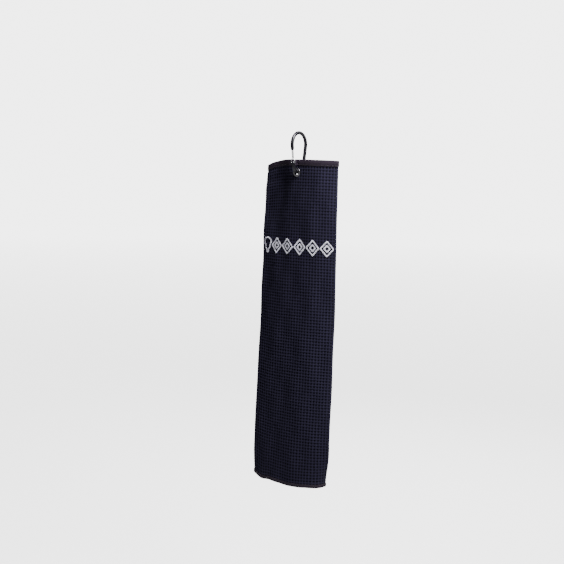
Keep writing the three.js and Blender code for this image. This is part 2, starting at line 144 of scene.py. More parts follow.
LAYERS_APART = 0.25  # extra space between the layers at the top, as a share of the pitch,
LAYERS_APART_LOWER = 0.75  # and what the foot adds
RIGHT_DROOP = 0.8 * MM  # how far the right fold hangs below the middle
LEFT_DROOP = 9 * MM  # the same at the left fold's top, gone above the motif
LEFT_RISE = 5 * MM  # how far the left fold ends above the middle at the hem
LEFT_DROOP_END = 130 * MM
# Sags of the hem: depth, middle along the panel, and width.
HEM_SAGS = ((2.2 * MM, -48 * MM, 9 * MM), (2.4 * MM, 8 * MM, 26 * MM))
# Ripples in and out: height, the scale along and down, and the phase.
RIPPLES = ((0.35 * MM, 4.1 * MM, 23 * MM, 0.0), (0.3 * MM, 7.3 * MM, -17 * MM, 1.2))
BILLOW = 3.2 * MM
PLEAT = 2.2 * MM  # the pinch of the top edge over the eyelet


def away_from_eyelet(along, down):
    """0 at the eyelet, where the cloth is clamped, and 1 a few centimetres off."""
    squared = (along / (20 * MM)) ** 2 + ((down - EYELET_DROP) / (24 * MM)) ** 2
    return 1.0 - np.exp(-squared)


def added_waves(waves, along, down):
    return sum(size * np.sin(along / wide + down / tall + phase) for size, wide, tall, phase in waves)


def heading_of(along, down):
    """The way the middle layer runs, turned from +X towards +Y, in radians."""
    along, down = np.broadcast_arrays(along, down)
    right = np.clip((along - FLAT_HALF) / (HALF_PANEL - FLAT_HALF), 0.0, 1.0)
    left = np.clip((-along - FLAT_HALF) / (HALF_PANEL - FLAT_HALF), 0.0, 1.0)
    heading = BEND_RIGHT * right - BEND_LEFT * left

    # Below the eyelet the left side opens out again, past a crease that the pull of the eyelet leaves.
    opened_out = smooth_step(-along, 10 * MM, 40 * MM)
    heading += OPENED_AT_TOP * opened_out * smooth_step(down, 5 * MM, 45 * MM)
    heading -= CLOSED_MIDWAY * opened_out * smooth_step(down, 90 * MM, 180 * MM)
    heading += OPENED_AT_FOOT * opened_out * smooth_step(down, 240 * MM, 470 * MM)
    near_top = 1.0 - smooth_step(down, 40 * MM, 200 * MM)
    swept_back = smooth_step(-along, 8 * MM, 18 * MM)
    swept_back = swept_back - SWEEP_RECOVERY * smooth_step(-along, 26 * MM, 50 * MM)
    heading -= SWEPT_BACK * near_top * swept_back
    heading += TWIST * smooth_step(down, 60 * MM, 260 * MM)

    pull = np.clip(down - PULL_CREASE_TOP[1], 0.0, 200 * MM)
    pull_at = PULL_CREASE_TOP[0] - PULL_CREASE_SLOPE * pull
    pull_fades = smooth_step(down, 16 * MM, 32 * MM) * (1.0 - smooth_step(down, 80 * MM, 135 * MM))
    heading -= PULL_CREASE * bump_at(along, pull_at, PULL_CREASE_WIDTH) * pull_fades

    corner = smooth_step(along, 36 * MM, 66 * MM) * smooth_step(down, 450 * MM, 530 * MM)
    heading += RIGHT_CORNER_CURL * corner
    left_corner = smooth_step(-along, 46 * MM, 66 * MM) * smooth_step(down, 486 * MM, 531 * MM)
    heading -= LEFT_CORNER_CURL * left_corner

    waves = added_waves(WAVES, along, down)
    return heading + np.radians(waves) * away_from_eyelet(along, down)


TABLE_STEP = 0.5 * MM
TABLE_ROW = 2 * MM
TABLE_ALONG = np.arange(-HALF_PANEL - 2 * MM, HALF_PANEL + 2 * MM, TABLE_STEP)
TABLE_DOWN = np.arange(0.0, CLOTH_LENGTH + TABLE_ROW, TABLE_ROW)


def drape_table():
    """Heading and place of the middle layer, over the table's distances along and down."""
    heading = heading_of(TABLE_ALONG[None, :], TABLE_DOWN[:, None])
    tables = [heading]
    for rate in (np.cos(heading), np.sin(heading)):
        steps = (rate[:, 1:] + rate[:, :-1]) / 2 * TABLE_STEP
        place = np.concatenate([np.zeros((len(rate), 1)), np.cumsum(steps, axis=1)], axis=1)
        at_eyelet = np.array([np.interp(0.0, TABLE_ALONG, row) for row in place])
        tables.append(place - at_eyelet[:, None])
    return np.stack(tables, axis=-1)


DRAPE = drape_table()


def look_up(along, down):
    """The drape table between its entries: columns heading, x, y."""
    column = np.clip((along - TABLE_ALONG[0]) / TABLE_STEP, 0, len(TABLE_ALONG) - 1.001)
    row = np.clip(down / TABLE_ROW, 0, len(TABLE_DOWN) - 1.001)
    i, j = column.astype(int), row.astype(int)
    a, b = (column - i)[:, None], (row - j)[:, None]
    upper = DRAPE[j, i] * (1 - a) + DRAPE[j, i + 1] * a
    lower = DRAPE[j + 1, i] * (1 - a) + DRAPE[j + 1, i + 1] * a
    return upper * (1 - b) + lower * b


def fold_place(across):
    """For distances across the flat cloth: distance along the middle layer, the offset from it as
    (behind, sideways), the cloth's outer side as (behind, sideways), and which layer, from -1 to 1."""
    across = np.asarray(across, float)
    inner_turn = np.clip((across - RIGHT_FOLD_AT) / INNER_FOLD, 0, math.pi)
    outer_turn = np.clip((across - LEFT_FOLD_AT) / OUTER_FOLD, 0, math.pi)
    front = across - FRONT_AT
    outer = across - OUTER_FLAP_AT

    on_inner = across < RIGHT_FOLD_AT
    on_right_fold = ~on_inner & (across < FRONT_AT)
    on_front = (across >= FRONT_AT) & (across < LEFT_FOLD_AT)
    on_left_fold = (across >= LEFT_FOLD_AT) & (across < OUTER_FLAP_AT)

    front_along = np.where(
        front < FRONT_RIGHT,
        HALF_PANEL * (1 - front / FRONT_RIGHT),
        -HALF_PANEL * (front - FRONT_RIGHT) / FRONT_LEFT,
    )
    outer_along = np.where(
        outer < BACK_LEFT,
        -HALF_PANEL * (1 - outer / BACK_LEFT),
        HALF_PANEL * (outer - BACK_LEFT) / BACK_RIGHT,
    )
    cases = [on_inner, on_right_fold, on_front, on_left_fold]
    along = np.select(
        cases,
        [HALF_PANEL - FLAP + across, HALF_PANEL, front_along, -HALF_PANEL],
        outer_along,
    )
    behind = np.select(
        cases,
        [0.0, INNER_FOLD * (np.cos(inner_turn) - 1), -LAYER_PITCH, -OUTER_FOLD * np.cos(outer_turn)],
        LAYER_PITCH,
    )
    sideways = np.select(
        cases,
        [0.0, INNER_FOLD * np.sin(inner_turn), 0.0, -OUTER_FOLD * np.sin(outer_turn)],
        0.0,
    )
    out_behind = np.select(cases, [1.0, np.cos(inner_turn), -1.0, -np.cos(outer_turn)], 1.0)
    out_sideways = np.select(cases, [0.0, np.sin(inner_turn), 0.0, -np.sin(outer_turn)], 0.0)
    return along, behind, sideways, out_behind, out_sideways


TIP_TURN = np.array(Matrix.Rotation(HUNG_TIP, 3, "X"))


def towel_points(across, down, raised):
    """Points of the hanging towel, from distances on the flat cloth and heights off its middle."""
    across, down, raised = np.broadcast_arrays(across, down, raised)
    shape = across.shape
    across, down, raised = (np.ravel(v).astype(float) for v in (across, down, raised))
    along, behind, sideways, out_behind, out_sideways = fold_place(across)
    heading, x, y = look_up(along, down).T
    free = away_from_eyelet(along, down)

    # The layers stand further apart away from the folds and the eyelet, most of all lower down.
    between_folds = 1.0 - (along / HALF_PANEL) ** 2
    apart = LAYERS_APART + LAYERS_APART_LOWER * smooth_step(down, 150 * MM, 520 * MM)
    opened = 1.0 + apart * between_folds * free
    behind = behind * opened + raised * out_behind
    sideways = sideways + raised * out_sideways
    x = x - behind * np.sin(heading) + sideways * np.cos(heading)
    y = y + behind * np.cos(heading) + sideways * np.sin(heading)

    past_flat = np.clip(np.abs(along) - FLAT_HALF, 0, None) / (HALF_PANEL - FLAT_HALF)
    left_droop = LEFT_DROOP - LEFT_DROOP * smooth_step(down, 0.0, LEFT_DROOP_END)
    left_droop -= LEFT_RISE * smooth_step(down, LEFT_DROOP_END, CLOTH_LENGTH)
    droop = np.where(along > 0, RIGHT_DROOP * past_flat**1.6, left_droop * past_flat**2.4)
    near_hem = smooth_step(down, 440 * MM, 530 * MM)
    for depth, middle, width in HEM_SAGS:
        droop += depth * bump_at(along, middle, width) * near_hem
    y = y + added_waves(RIPPLES, along, down) * free
    y = y + BILLOW * np.sin(math.pi * np.clip((down - EYELET_DROP) / CLOTH_LENGTH, 0, 1)) ** 2
    pleat = bump_at(along, -1 * MM, 2.6 * MM) * (1 - smooth_step(down, 7 * MM, 13 * MM))
    y = y + PLEAT * pleat

    hung = np.stack([x, y, EYELET_DROP - down - droop], axis=-1)
    return (hung @ TIP_TURN.T + EYELET_AT).reshape(shape + (3,))


def towel_axes(across, down, raised, run_across, run_down):
    """Unit directions on the towel: along a run on the flat cloth, and out of the cloth."""
    step = 0.2 * MM
    here = towel_points(across, down, raised)
    run = towel_points(across + step * run_across, down + step * run_down, raised) - here
    out = towel_points(across, down, raised + step) - here
    run /= np.linalg.norm(run, axis=-1, keepdims=True)
    out /= np.linalg.norm(out, axis=-1, keepdims=True)
    return here, run, out


# ---- Mesh help ----


def mesh_object(name, points, faces, uvs=None):
    mesh = bpy.data.meshes.new(name)
    mesh.from_pydata(np.asarray(points).reshape(-1, 3).tolist(), [], faces)
    if uvs is not None:
        layer = mesh.uv_layers.new(name="cloth")
        corners = np.empty(len(mesh.loops), np.int32)
        mesh.loops.foreach_get("vertex_index", corners)
        layer.data.foreach_set("uv", np.asarray(uvs, np.float32)[corners].ravel())
    mesh.shade_smooth()
    made = bpy.data.objects.new(name, mesh)
    bpy.context.scene.collection.objects.link(made)
    return made


def face_outwards(piece):
    sculpt = bmesh.new()
    sculpt.from_mesh(piece.data)
    bmesh.ops.recalc_face_normals(sculpt, faces=sculpt.faces)
    sculpt.to_mesh(piece.data)
    sculpt.free()


def apply_modifiers(piece):
    """The piece with its modifiers made real."""
    evaluated = piece.evaluated_get(bpy.context.evaluated_depsgraph_get())
    baked = bpy.data.meshes.new_from_object(evaluated)
    piece.modifiers.clear()
    old, piece.data = piece.data, baked
    baked.name = piece.name
    bpy.data.meshes.remove(old)
    return piece


def grid_faces(rows, columns, flip=False, start=0):
    index = start + np.arange(rows * columns).reshape(rows, columns)
    quads = np.stack([index[:-1, :-1], index[1:, :-1], index[1:, 1:], index[:-1, 1:]], axis=-1)
    quads = quads.reshape(-1, 4)
    return (quads[:, ::-1] if flip else quads).tolist()


# ---- Shader groups ----


def node(tree, kind, **settings):
    made = tree.nodes.new(kind)
    for key, value in settings.items():
        setattr(made, key, value)
    return made


def feed(tree, target, value):
    """A link if the value is a socket, and a constant if it isn't."""
    if isinstance(value, bpy.types.NodeSocket):
        tree.links.new(value, target)
    else:
        target.default_value = value


def calculate(tree, operation, *values, clamp=False):
    made = node(tree, "ShaderNodeMath", operation=operation, use_clamp=clamp)
    for target, value in zip(made.inputs, values):
        feed(tree, target, value)
    return made.outputs[0]


def blend_colours(tree, share, first, second):
    made = node(tree, "ShaderNodeMix", data_type="RGBA")
    feed(tree, made.inputs["Factor"], share)
    feed(tree, made.inputs["A"], first)
    feed(tree, made.inputs["B"], second)
    return made.outputs["Result"]


def remap(tree, value, low, high, new_low, new_high):
    made = node(tree, "ShaderNodeMapRange")
    for target, part in zip(made.inputs, (value, low, high, new_low, new_high)):
        feed(tree, target, part)
    return made.outputs["Result"]


def noise(tree, vector, scale, detail=2.0, roughness=0.5):
    made = node(tree, "ShaderNodeTexNoise")
    feed(tree, made.inputs["Vector"], vector)
    feed(tree, made.inputs["Scale"], scale)
    feed(tree, made.inputs["Detail"], detail)
    feed(tree, made.inputs["Roughness"], roughness)
    return made.outputs["Fac"]


def new_group(name, inputs, outputs):
    """A shader node group with named sockets, and its input and output nodes."""
    group = bpy.data.node_groups.new(name, "ShaderNodeTree")
    for socket_name, kind, value in inputs:
        socket = group.interface.new_socket(socket_name, in_out="INPUT", socket_type=kind)
        if value is not None:
            socket.default_value = value
    for socket_name, kind in outputs:
        group.interface.new_socket(socket_name, in_out="OUTPUT", socket_type=kind)
    return group, group.nodes.new("NodeGroupInput"), group.nodes.new("NodeGroupOutput")


def waffle_weave_group():
    """Ridges and pits of a waffle weave, with the yarns that float over them."""
    group, given, result = new_group(
        "waffle weave",
        [("Cloth", "NodeSocketVector", None), ("Pitch", "NodeSocketFloat", WAFFLE_PITCH)],
        [("Pit", "NodeSocketFloat"), ("Yarns", "NodeSocketFloat")],
    )
    apart = node(group, "ShaderNodeSeparateXYZ")
    feed(group, apart.inputs[0], given.outputs["Cloth"])
    waves, yarns = [], []
    for axis in ("X", "Y"):
        cells = calculate(group, "DIVIDE", apart.outputs[axis], given.outputs["Pitch"])
        half_turn = calculate(group, "MULTIPLY", cells, math.pi)
        waves.append(calculate(group, "ABSOLUTE", calculate(group, "SINE", half_turn)))
        threads = calculate(group, "MULTIPLY", cells, 16 * math.pi)
        yarns.append(calculate(group, "SINE", threads))
    pit = calculate(group, "MULTIPLY", *waves)
    # Warp yarns show on one pair of a cell's walls and weft yarns on the other.
    warp_shows = calculate(group, "GREATER_THAN", waves[0], waves[1])
    warp = calculate(group, "MULTIPLY", yarns[0], warp_shows)
    weft = calculate(group, "MULTIPLY", yarns[1], calculate(group, "SUBTRACT", 1.0, warp_shows))
    feed(group, result.inputs["Pit"], pit)
    feed(group, result.inputs["Yarns"], calculate(group, "ADD", warp, weft))
    return group


def ribbed_tape_group():
    """Fine ribs across a woven tape."""
    group, given, result = new_group(
        "ribbed tape",
        [("Cloth", "NodeSocketVector", None), ("Rib Pitch", "NodeSocketFloat", 0.9 * MM)],
        [("Rib", "NodeSocketFloat")],
    )
    apart = node(group, "ShaderNodeSeparateXYZ")
    feed(group, apart.inputs[0], given.outputs["Cloth"])
    ribs = []
    for axis, share in (("X", 1.0), ("Y", 0.6)):
        turns = calculate(group, "DIVIDE", apart.outputs[axis], given.outputs["Rib Pitch"])
        wave = calculate(group, "SINE", calculate(group, "MULTIPLY", turns, 2 * math.pi / share))
        ribs.append(calculate(group, "MULTIPLY", wave, share))
    feed(group, result.inputs["Rib"], calculate(group, "ADD", *ribs))
    return group


def fluff_group():
    """Loose fibre on a fabric: soft patches and a fine fuzz."""
    group, given, result = new_group(
        "fluff",
        [("Place", "NodeSocketVector", None), ("Fineness", "NodeSocketFloat", 1.0)],
        [("Patches", "NodeSocketFloat"), ("Fuzz", "NodeSocketFloat")],
    )
    coarse = calculate(group, "MULTIPLY", given.outputs["Fineness"], 38.0)
    fine = calculate(group, "MULTIPLY", given.outputs["Fineness"], 1500.0)
    feed(group, result.inputs["Patches"], noise(group, given.outputs["Place"], coarse, 3.0, 0.6))
    feed(group, result.inputs["Fuzz"], noise(group, given.outputs["Place"], fine, 3.0, 0.7))
    return group


def handled_metal_group():
    """Faint smears and fine scratches on metal."""
    group, given, result = new_group(
        "handled metal",
        [("Place", "NodeSocketVector", None), ("Roughness", "NodeSocketFloat", 0.3)],
        [("Roughness", "NodeSocketFloat"), ("Scratches", "NodeSocketFloat")],
    )
    smears = noise(group, given.outputs["Place"], 160.0, 4.0, 0.6)
    stretched = node(group, "ShaderNodeMapping")
    feed(group, stretched.inputs["Vector"], given.outputs["Place"])
    feed(group, stretched.inputs["Scale"], (900.0, 900.0, 120.0))
    scratches = noise(group, stretched.outputs[0], 2.0, 4.0, 0.75)
    spread = calculate(group, "MULTIPLY", calculate(group, "SUBTRACT", smears, 0.5), 0.3)
    feed(group, result.inputs["Roughness"], calculate(group, "ADD", given.outputs["Roughness"], spread))
    feed(group, result.inputs["Scratches"], scratches)
    return group


WAFFLE_WEAVE = waffle_weave_group()
RIBBED_TAPE = ribbed_tape_group()
FLUFF = fluff_group()
HANDLED_METAL = handled_metal_group()


# ---- Materials ----


class Finish:
    """A material under construction: its node tree, shader and coordinates."""

    def __init__(self, name):
        self.material = bpy.data.materials.new(name)
        self.material.use_nodes = True
        self.tree = self.material.node_tree
        self.shader = self.tree.nodes["Principled BSDF"]
        self.place = node(self.tree, "ShaderNodeTexCoord").outputs["Object"]

    def cloth_map(self):
        return node(self.tree, "ShaderNodeUVMap", uv_map="cloth").outputs["UV"]

    def group(self, group, **inputs):
        made = node(self.tree, "ShaderNodeGroup", node_tree=group)
        for key, value in inputs.items():
            feed(self.tree, made.inputs[key.replace("_", " ")], value)
        return made.outputs

    def set(self, **inputs):
        for key, value in inputs.items():
            feed(self.tree, self.shader.inputs[key.replace("_", " ")], value)

    def raise_by(self, height, distance, strength=1.0):
        bump = node(self.tree, "ShaderNodeBump")
        feed(self.tree, bump.inputs["Height"], height)
        bump.inputs["Distance"].default_value = distance
        bump.inputs["Strength"].default_value = strength
        self.set(Normal=bump.outputs["Normal"])


def waffle_cloth_finish():
    ridge_colour = (0.0240, 0.0208, 0.0460, 1)
    # Painted shade: the pits are coloured far darker than the ridges, for the shade that falls in the
    # weave's hollows.
    pit_shade_colour = (0.0004, 0.0003, 0.0009, 1)
    worn_colour = (0.0110, 0.0098, 0.0205, 1)
    finish = Finish("waffle microfibre with painted pit shade")
    tree = finish.tree
    weave = finish.group(WAFFLE_WEAVE, Cloth=finish.cloth_map())
    fluff = finish.group(FLUFF, Place=finish.place)
    # The pit pattern mixes in the painted pit shade.
    pit_shade_share = calculate(tree, "POWER", weave["Pit"], 1.1)
    base = blend_colours(tree, pit_shade_share, ridge_colour, pit_shade_colour)
    worn = remap(tree, fluff["Patches"], 0.35, 0.7, 0.0, 0.2)
    base = blend_colours(tree, worn, base, worn_colour)
    finish.set(Base_Color=base, Roughness=remap(tree, fluff["Fuzz"], 0.3, 0.7, 0.88, 1.0))
    finish.set(Specular_IOR_Level=0.15, Sheen_Weight=0.02, Sheen_Roughness=0.5)
    finish.set(Sheen_Tint=(0.62, 0.60, 0.80, 1))
    yarns = calculate(tree, "MULTIPLY", weave["Yarns"], 0.35)
    height = calculate(tree, "ADD", yarns, calculate(tree, "MULTIPLY", fluff["Fuzz"], 0.8))
    finish.raise_by(height, 0.12 * MM, 0.7)
    return finish.material


def binding_finish():
    # Painted light and shade: the grooves are coloured darker and the ribs lighter, following the ribs'
    # relief.
    groove_shade_colour = (0.0115, 0.0072, 0.0145, 1)
    rib_light_colour = (0.0290, 0.0180, 0.0340, 1)
    faded_colour = (0.0235, 0.0155, 0.0265, 1)
    finish = Finish("woven binding with painted rib light and shade")
    tree = finish.tree
    tape = finish.group(RIBBED_TAPE, Cloth=finish.cloth_map())
    fluff = finish.group(FLUFF, Place=finish.place, Fineness=1.4)
    # The ribs' relief sets the painted light and shade.
    lit = remap(tree, tape["Rib"], -1.2, 1.2, 0.0, 1.0)
    base = blend_colours(tree, lit, groove_shade_colour, rib_light_colour)
    faded = remap(tree, fluff["Patches"], 0.35, 0.7, 0.0, 0.5)
    base = blend_colours(tree, faded, base, faded_colour)
    finish.set(Base_Color=base, Roughness=remap(tree, fluff["Fuzz"], 0.3, 0.7, 0.62, 0.82))
    finish.set(Specular_IOR_Level=0.2, Sheen_Weight=0.02, Sheen_Roughness=0.4)
    height = calculate(tree, "ADD", tape["Rib"], calculate(tree, "MULTIPLY", fluff["Fuzz"], 0.5))
    finish.raise_by(height, 0.06 * MM, 0.6)
    return finish.material


def thread_finish(name, dark, light, roughness):
    finish = Finish(name)
    tree = finish.tree
    fluff = finish.group(FLUFF, Place=finish.place, Fineness=2.0)
    share = remap(tree, fluff["Fuzz"], 0.35, 0.65, 0.0, 1.0)
    finish.set(Base_Color=blend_colours(tree, share, dark, light))
    finish.set(Roughness=remap(tree, fluff["Patches"], 0.3, 0.7, roughness - 0.08, roughness + 0.08))
    finish.set(Specular_IOR_Level=0.5, Sheen_Weight=0.1)
    finish.raise_by(fluff["Fuzz"], 0.03 * MM, 0.5)
    return finish.material


def anodised_finish():
    """Satin black, rubbed a little thinner where the eyelet slides round the lower arch."""
    black = (0.022, 0.021, 0.027, 1)
    rubbed_black = (0.050, 0.047, 0.052, 1)
    finish = Finish("black anodised rod")
    tree = finish.tree
    metal = finish.group(HANDLED_METAL, Place=finish.place, Roughness=0.33)
    height = node(tree, "ShaderNodeSeparateXYZ")
    feed(tree, height.inputs[0], finish.place)
    arch_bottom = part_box("carabiner_body")[0].z
    low = remap(tree, height.outputs["Z"], arch_bottom, arch_bottom + 9 * MM, 1.0, 0.0)
    patchy = remap(tree, metal["Scratches"], 0.45, 0.62, 0.0, 1.0)
    rubbed = calculate(tree, "MULTIPLY", low, patchy, clamp=True)
    base = blend_colours(tree, rubbed, black, rubbed_black)
    finish.set(Base_Color=base, Metallic=0.6, Roughness=metal["Roughness"])
    finish.set(Coat_Weight=0.2)
    finish.raise_by(metal["Scratches"], 0.01 * MM, 0.3)
    return finish.material


def bright_metal_finish(name, clean, dull, roughness):
    finish = Finish(name)
    tree = finish.tree
    metal = finish.group(HANDLED_METAL, Place=finish.place, Roughness=roughness)
    share = remap(tree, metal["Scratches"], 0.4, 0.75, 0.0, 1.0)
    finish.set(Base_Color=blend_colours(tree, share, clean, dull), Metallic=1.0)
    finish.set(Roughness=metal["Roughness"])
    finish.raise_by(metal["Scratches"], 0.012 * MM, 0.35)
    return finish.material


CLOTH_FINISH = waffle_cloth_finish()
BINDING_FINISH = binding_finish()
WHITE_THREAD = thread_finish("white rayon thread", (0.76, 0.74, 0.90, 1), (0.94, 0.93, 1.00, 1), 0.42)
# Painted shade: the underlay is coloured grey, well darker than the white satin over it, for the shade
# seen between the satin threads.
UNDERLAY_SHADE_THREAD = thread_finish("underlay thread in painted shade", (0.26, 0.25, 0.30, 1), (0.42, 0.41, 0.47, 1), 0.7)
DARK_THREAD = thread_finish("dark sewing thread", (0.010, 0.009, 0.012, 1), (0.030, 0.027, 0.033, 1), 0.5)
ANODISED = anodised_finish()
NICKEL = bright_metal_finish("nickel plate", (0.29, 0.28, 0.30, 1), (0.16, 0.15, 0.17, 1), 0.2)
STEEL = bright_metal_finish("steel wire", (0.66, 0.66, 0.68, 1), (0.45, 0.45, 0.47, 1), 0.2)


WELD_WITHIN = 0.005 * MM
SHADED_ROUND_BELOW = math.radians(38)


def finish_node(name, material):
    """Gives a frame node its finish, with its round faces shaded as round."""
    piece = frame["nodes"][name]
    piece.data.materials.clear()
    piece.data.materials.append(material)
    piece.data.shade_smooth()
    weld = piece.modifiers.new("weld", "WELD")
    weld.merge_threshold = WELD_WITHIN
    split = piece.modifiers.new("keep edges", "EDGE_SPLIT")
    split.split_angle = SHADED_ROUND_BELOW


# ---- The cloth: one closed sheet with its weave in relief ----


def cloth_columns():
    """Distances across the cloth: three to a waffle cell where it shows, and fewer in the hidden flap."""
    fine = WAFFLE_PITCH / 3
    first = math.ceil((RIGHT_FOLD_AT - 3 * WAFFLE_PITCH) / WAFFLE_PITCH)
    last = math.floor((CLOTH_WIDTH - SIDE_HEM - HEM_CLEAR) / fine)
    hidden = np.arange(2, first) * WAFFLE_PITCH
    shown = np.arange(first * 3, last + 1) * fine
    edge = [EDGE_INSET, SIDE_HEM, SIDE_HEM + HEM_CLEAR]
    return np.concatenate([edge, hidden, shown, CLOTH_WIDTH - np.array([SIDE_HEM, EDGE_INSET])])


def cloth_rows():
    """Distances down the cloth, three to a cell, always one more than a multiple of three."""
    fine = WAFFLE_PITCH / 3
    first = math.ceil((TOP_HEM + HEM_CLEAR) / fine)
    last = math.floor((CLOTH_LENGTH - BOTTOM_HEM - HEM_CLEAR) / fine)
    rows = list(np.arange(first, last + 1) * fine)
    rows = [EDGE_INSET, TOP_HEM] + rows + [CLOTH_LENGTH - BOTTOM_HEM, CLOTH_LENGTH - EDGE_INSET]
    while len(rows) % 3 != 1:
        rows.insert(1, (rows[0] + rows[1]) / 2)
    return np.array(rows)


def weave_raised(across, down):
    """Height of the outer face: ridges on the cell lines, pits between, flat inside the hems. Also how
    much of the weave shows, from 0 inside a hem to 1."""
    thirds = WAFFLE_PITCH / 3
    on_line = (np.round(across / thirds) % 3 == 0) | (np.round(down / thirds) % 3 == 0)
    raised = np.where(on_line, RIDGE_RAISED, PIT_RAISED)
    inside = np.minimum.reduce(
        [
            across - SIDE_HEM,
            CLOTH_WIDTH - SIDE_HEM - across,
            down - TOP_HEM,
            CLOTH_LENGTH - BOTTOM_HEM - down,
        ]
    )
    share = smooth_step(inside, 0.0, 1.5 * MM)
    for fold_at, turn in ((RIGHT_FOLD_AT, INNER_FOLD), (LEFT_FOLD_AT, OUTER_FOLD)):
        middle = fold_at + turn * math.pi / 2
        raised = raised + (FOLD_RAISED - raised) * FOLD_SMOOTHED * bump_at(across, middle, FOLD_REACH)
    near_flange = np.hypot(across - EYELET_ACROSS, down - EYELET_DROP)
    uncovered = smooth_step(near_flange, *PRESSED_RADII)
    raised = raised * uncovered + PRESSED_RAISED * (1 - uncovered)
    return raised * share + EDGE_RAISED * (1 - share), share


def towel_cloth():
    columns, rows = cloth_columns(), cloth_rows()
    across, down = np.meshgrid(columns, rows)
    raised, share = weave_raised(across, down)
    outer = towel_points(across, down, raised)
    back_raised = BACK_RAISED * share - EDGE_RAISED * (1 - share)
    inner = towel_points(across[::3], down[::3], back_raised[::3])

    wide, tall, tall_inner = len(columns), len(rows), len(rows[::3])
    start = wide * tall
    faces = grid_faces(tall, wide) + grid_faces(tall_inner, wide, flip=True, start=start)
    top, bottom = 0, (tall - 1) * wide
    inner_top, inner_bottom = start, start + (tall_inner - 1) * wide
    for i in range(wide - 1):
        faces.append([top + i, top + i + 1, inner_top + i + 1, inner_top + i])
        faces.append([bottom + i + 1, bottom + i, inner_bottom + i, inner_bottom + i + 1])
    for k in range(tall_inner - 1):
        for column, flip in ((0, False), (wide - 1, True)):
            near = [(3 * k + i) * wide + column for i in range(4)]
            far = [start + (k + i) * wide + column for i in (1, 0)]
            side = near[::-1] + far[::-1]
            faces.append(side[::-1] if flip else side)
    points = np.concatenate([outer.reshape(-1, 3), inner.reshape(-1, 3)])
    flat = np.stack([across, down], axis=-1)
    uvs = np.concatenate([flat.reshape(-1, 2), flat[::3].reshape(-1, 2)])
    cloth = mesh_object("waffle_cloth", points, faces, uvs)
    cloth.data.materials.append(CLOTH_FINISH)

    # The hole that the eyelet's barrel goes through, in all three layers.
    bpy.ops.mesh.primitive_cylinder_add(vertices=40, radius=HOLE_RADIUS, depth=30 * MM)
    punch = bpy.context.object
    punch.data.transform(Matrix.Rotation(math.pi / 2 + HUNG_TIP, 4, "X"))
    punch.data.transform(Matrix.Translation(EYELET_AT))
    cut = cloth.modifiers.new("eyelet hole", "BOOLEAN")
    cut.operation, cut.object, cut.solver = "DIFFERENCE", punch, "EXACT"
    apply_modifiers(cloth)
    bpy.data.objects.remove(punch)
    return cloth


# ---- Bindings: tape folded over each edge ----

TAPE_OUT = 1.15 * MM
TAPE_IN = 0.75 * MM
TAPE_MARGIN = 0.45 * MM
STITCH_PITCH = 3.0 * MM
STITCH_INSET = 1.5 * MM  # from the tape's inner edge to its row of stitches
STITCH_LENGTH = 2.5 * MM
STITCH_RADIUS = 0.2 * MM
STITCH_ARCH = 0.3 * MM
STITCH_SUNK = 0.12 * MM  # how far it is drawn into the tape
TAPE_PULLED_IN = 0.07  # how much the stitches squeeze the tape, as a share of its height


def tape_profile(depth):
    """The folded tape's section: (distance in from the cloth's edge, height off its middle)."""
    seam = depth - STITCH_INSET
    out = [
        (depth, TAPE_IN + 0.05 * MM),
        (depth - 0.15 * MM, TAPE_OUT - 0.1 * MM),
        (seam + 0.7 * MM, TAPE_OUT),
        (seam, TAPE_OUT - 0.22 * MM),
        (seam - 0.7 * MM, TAPE_OUT),
        (depth * 0.45, TAPE_OUT + 0.12 * MM),
        (0.9 * MM, TAPE_OUT),
        (0.25 * MM, TAPE_OUT * 0.75),
        (0.0, TAPE_OUT * 0.25),
    ]
    back = [(inset, -height) for inset, height in reversed(out)]
    inside = [
        (depth, -TAPE_IN + 0.1 * MM),
        (TAPE_MARGIN, -TAPE_IN + 0.1 * MM),
        (TAPE_MARGIN, TAPE_IN - 0.1 * MM),
        (depth, TAPE_IN - 0.1 * MM),
    ]
    return np.array(out + back + inside)


def tape(name, runs, depth, place):
    """A folded tape along its runs. place turns (run, inset) into distances across and down."""
    profile = tape_profile(depth)
    run, inset = np.meshgrid(runs, profile[:, 0], indexing="ij")
    raised = np.broadcast_to(profile[:, 1], run.shape)
    pulled = 1.0 + TAPE_PULLED_IN * np.cos(2 * math.pi * run / STITCH_PITCH)
    across, down = place(run, inset)
    points = towel_points(across, down, raised * pulled)
    count, around = run.shape
    index = np.arange(count * around).reshape(count, around)
    following = np.roll(index, -1, axis=1)
    quads = np.stack([index[:-1], following[:-1], following[1:], index[1:]], axis=-1).reshape(-1, 4)
    faces = quads.tolist() + [index[0, ::-1].tolist(), index[-1].tolist()]
    made = mesh_object(name, points, faces, np.stack([across, down], axis=-1).reshape(-1, 2))
    face_outwards(made)
    made.data.materials.append(BINDING_FINISH)
    return made


TAPE_STEP = 1.0 * MM
ACROSS_RUNS = np.linspace(0, CLOTH_WIDTH, round(CLOTH_WIDTH / TAPE_STEP))
SIDE_TOP = TOP_HEM + 0.4 * MM
SIDE_BOTTOM = CLOTH_LENGTH - BOTTOM_HEM - 0.4 * MM
DOWN_RUNS = np.linspace(SIDE_TOP, SIDE_BOTTOM, round((SIDE_BOTTOM - SIDE_TOP) / TAPE_STEP))

EDGES = {
    "top_tape": (ACROSS_RUNS, TOP_HEM, lambda run, inset: (run, inset)),
    "bottom_tape": (ACROSS_RUNS, BOTTOM_HEM, lambda run, inset: (run, CLOTH_LENGTH - inset)),
    "inner_edge_tape": (DOWN_RUNS, SIDE_HEM, lambda run, inset: (inset, run)),
    "outer_edge_tape": (DOWN_RUNS, SIDE_HEM, lambda run, inset: (CLOTH_WIDTH - inset, run)),
}


# ---- Threads laid by Geometry Nodes ----


THREAD_BENDS = 5
THREAD_SIDES = 6


